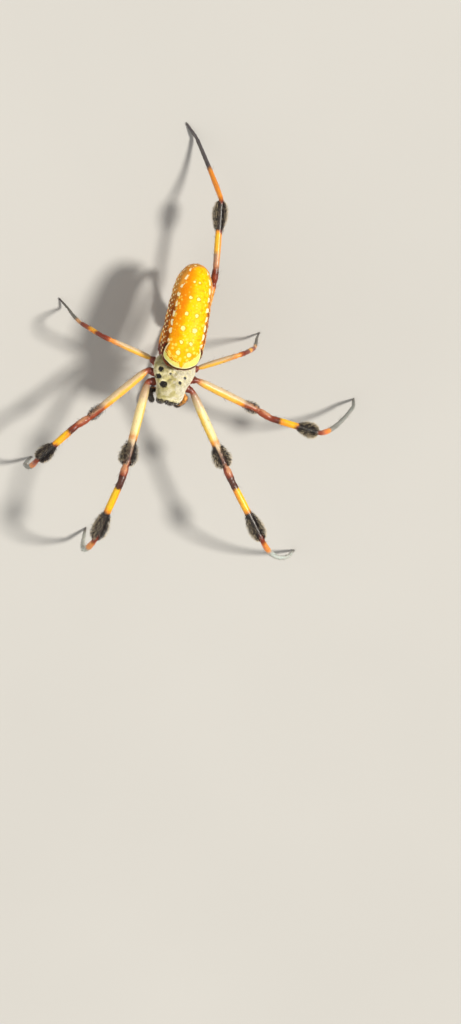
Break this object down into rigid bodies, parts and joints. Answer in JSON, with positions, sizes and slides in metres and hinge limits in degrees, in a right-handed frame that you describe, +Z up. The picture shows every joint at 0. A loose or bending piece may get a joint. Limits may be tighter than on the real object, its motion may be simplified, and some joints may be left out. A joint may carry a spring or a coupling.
{
  "type": "golden silk orb weaver spider model",
  "caption": "Still, life-size model of a female golden silk orb weaver, standing with its head end raised and one hind leg tucked under the body.",
  "frame": {"origin": "centre of the bounding box at the floor that the feet stand on", "axes": "+Z up, head towards -Y, abdomen towards +Y, the spider's left side towards +X"},
  "size_m": [0.0712, 0.0932, 0.0273],
  "materials": {
    "carapace": "silvery cream down over dark cuticle",
    "abdomen": "satin skin with pale spots",
    "dark_skin": "satin cuticle",
    "leg_yellow": "satin cuticle",
    "leg_brown": "satin cuticle",
    "leg_grey": "satin cuticle",
    "eye": "gloss"
  },
  "bodies": {
    "root": {"prosoma": "carapace", "sternum": "leg_yellow", "labium": "dark_skin", "pedicel": "dark_skin", "abdomen": "abdomen", "spinnerets": "dark_skin", "chelicera_left": "dark_skin", "chelicera_right": "dark_skin", "fang_left": "dark_skin", "fang_right": "dark_skin", "palp_left": "leg_yellow", "palp_right": "leg_yellow", "eye_front_left": "eye", "eye_front_right": "eye", "eye_rear_left": "eye", "eye_rear_right": "eye", "eyes_side_left": "eye", "eyes_side_right": "eye", "coxa_left_1": "leg_brown", "coxa_left_2": "leg_brown", "coxa_left_3": "leg_brown", "coxa_left_4": "leg_brown", "coxa_right_1": "leg_brown", "coxa_right_2": "leg_brown", "coxa_right_3": "leg_brown", "coxa_right_4": "leg_brown", "femur_left_1": "leg_yellow", "femur_left_2": "leg_yellow", "femur_left_3": "leg_yellow", "femur_left_4": "leg_yellow", "femur_right_1": "leg_yellow", "femur_right_2": "leg_yellow", "femur_right_3": "leg_yellow", "femur_right_4": "leg_yellow", "patella_left_1": "leg_brown", "patella_left_2": "leg_brown", "patella_left_3": "leg_brown", "patella_left_4": "leg_brown", "patella_right_1": "leg_brown", "patella_right_2": "leg_brown", "patella_right_3": "leg_brown", "patella_right_4": "leg_brown", "tibia_left_1": "leg_brown", "tibia_left_2": "leg_brown", "tibia_left_3": "leg_brown", "tibia_left_4": "leg_brown", "tibia_right_1": "leg_brown", "tibia_right_2": "leg_brown", "tibia_right_3": "leg_brown", "tibia_right_4": "leg_brown", "foot_left_1": "leg_grey", "foot_left_2": "leg_grey", "foot_left_3": "leg_grey", "foot_left_4": "leg_grey", "foot_right_1": "leg_grey", "foot_right_2": "leg_grey", "foot_right_3": "leg_grey", "foot_right_4": "leg_grey"}
  },
  "joints": []
}
